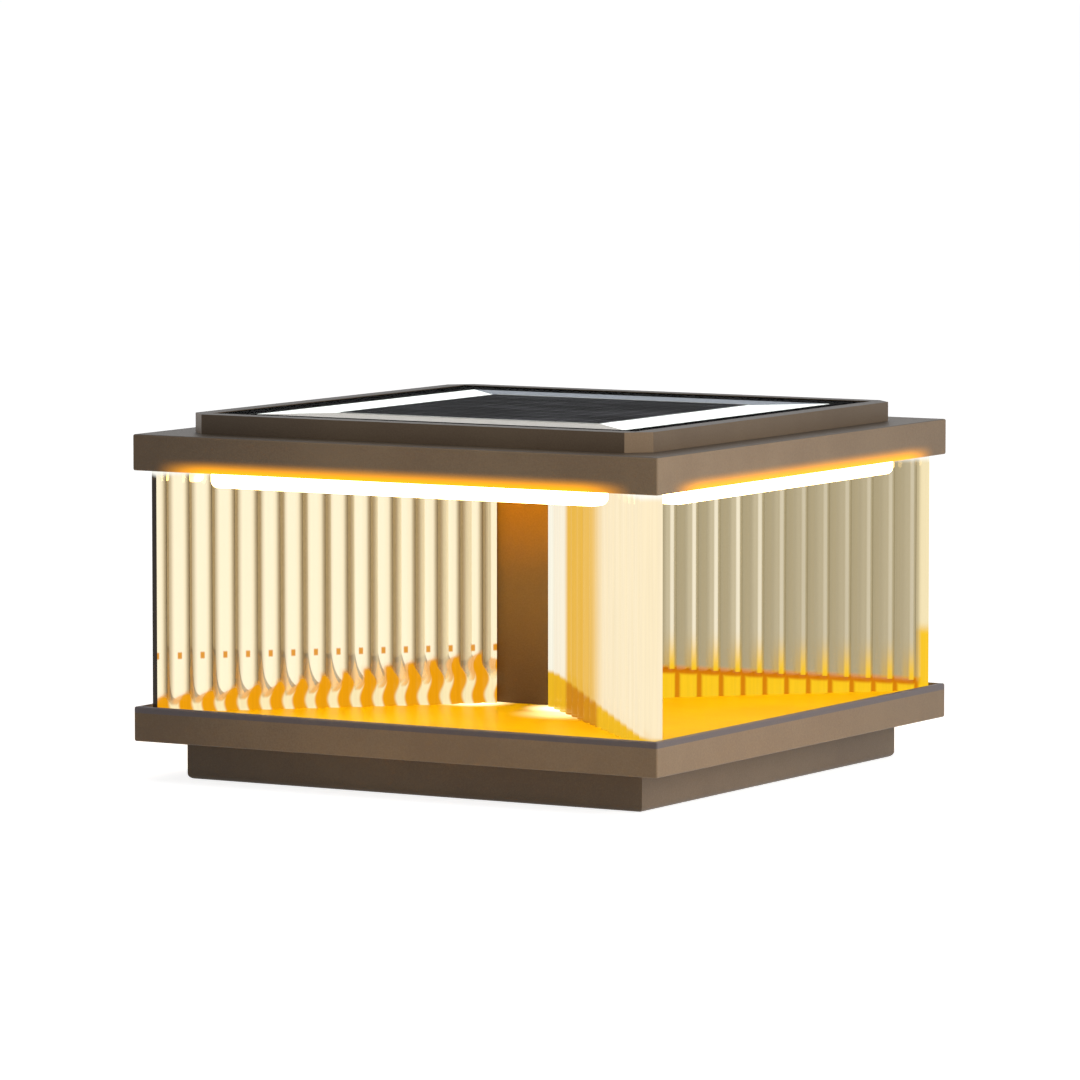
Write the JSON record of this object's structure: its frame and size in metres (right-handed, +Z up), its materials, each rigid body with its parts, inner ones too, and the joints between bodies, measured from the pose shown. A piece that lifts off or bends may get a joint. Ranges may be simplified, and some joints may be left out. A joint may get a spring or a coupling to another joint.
{
  "type": "deck post cap light",
  "caption": "Solar post cap light: wide square head on a central column, ribbed clear plates on the diagonals, light bars under the head, stepped square base.",
  "frame": {"origin": "centre of the underside, where the lamp rests on its post", "axes": "+Z up along the column; +X and +Y square to the sides; the push switch lies towards +Y"},
  "size_m": [0.25, 0.25, 0.1526],
  "materials": {
    "plate_steel": "zinc plated, satin",
    "screw_steel": "stainless, satin",
    "black_rubber": "matte",
    "bronze_paint": "fine satin powder coat, dark bronze",
    "column_bronze": "satin powder coat, dark bronze",
    "golden_floor": "satin golden reflector",
    "plug_plastic": "moulded, matte",
    "clear_silicone": "soft, milky",
    "ceiling_white": "white powder coat",
    "panel_glass": "tempered, gloss",
    "solar_cell": "dark silicon, satin",
    "tinned_copper": "tinned, satin",
    "white_backsheet": "smooth white",
    "led_phosphor": "warm phosphor",
    "black_plastic": "moulded, matte",
    "button_plastic": "smooth",
    "cell_wrap": "shrink wrap",
    "green_board": "solder mask",
    "lead_red": "soft insulation",
    "clear_acrylic": "polished clear acrylic",
    "bare_aluminium": "extruded, satin",
    "white_board": "white solder mask",
    "opal_diffuser": "opal, satin"
  },
  "bodies": {
    "lamp": {"base_flange": "bronze_paint", "battery_cells": "cell_wrap", "battery_contacts": "tinned_copper", "battery_holder": "black_plastic", "battery_leads": "lead_red", "board_posts": "plug_plastic", "cap_gasket": "black_rubber", "cap_shell": "bronze_paint", "ceiling_plate": "ceiling_white", "ceiling_screws": "screw_steel", "cell_board": "white_backsheet", "cell_ribbons": "tinned_copper", "column_plug_lower": "plug_plastic", "column_plug_upper": "plug_plastic", "column_tube": "column_bronze", "controller_board": "green_board", "controller_parts": "black_plastic", "floor_sheet": "golden_floor", "foot_gasket": "black_rubber", "junction_box": "plug_plastic", "led_board_back": "white_board", "led_board_front": "white_board", "led_board_left": "white_board", "led_board_right": "white_board", "led_chips": "led_phosphor", "led_diffuser_back": "opal_diffuser", "led_diffuser_front": "opal_diffuser", "led_diffuser_left": "opal_diffuser", "led_diffuser_right": "opal_diffuser", "led_leads": "lead_red", "led_screws": "screw_steel", "led_strip_back": "bare_aluminium", "led_strip_front": "bare_aluminium", "led_strip_left": "bare_aluminium", "led_strip_right": "bare_aluminium", "lock_screws": "screw_steel", "panel_glass": "panel_glass", "panel_leads": "lead_red", "panel_seal": "black_rubber", "plinth_skirt": "bronze_paint", "post_plate": "plate_steel", "skirt_screws": "screw_steel", "solar_cells": "solar_cell", "switch_body": "black_plastic", "switch_leads": "lead_red", "switch_nut": "screw_steel", "switch_spring": "screw_steel", "tie_nuts": "screw_steel", "tie_rod": "screw_steel", "tie_washers": "screw_steel", "tray_frame": "bronze_paint", "tray_screws": "screw_steel", "wing_back_left": "clear_acrylic", "wing_back_right": "clear_acrylic", "wing_front_left": "clear_acrylic", "wing_front_right": "clear_acrylic", "wing_pads": "clear_silicone"},
    "button": {"switch_button": "button_plastic"}
  },
  "joints": [
    {"name": "button_press", "type": "slide", "parent": "lamp", "child": "button", "axis": [0, 0, 1], "range_m": [0, 0.0015], "stiffness_N_per_m": 400, "deforming": ["switch_spring"]}
  ]
}
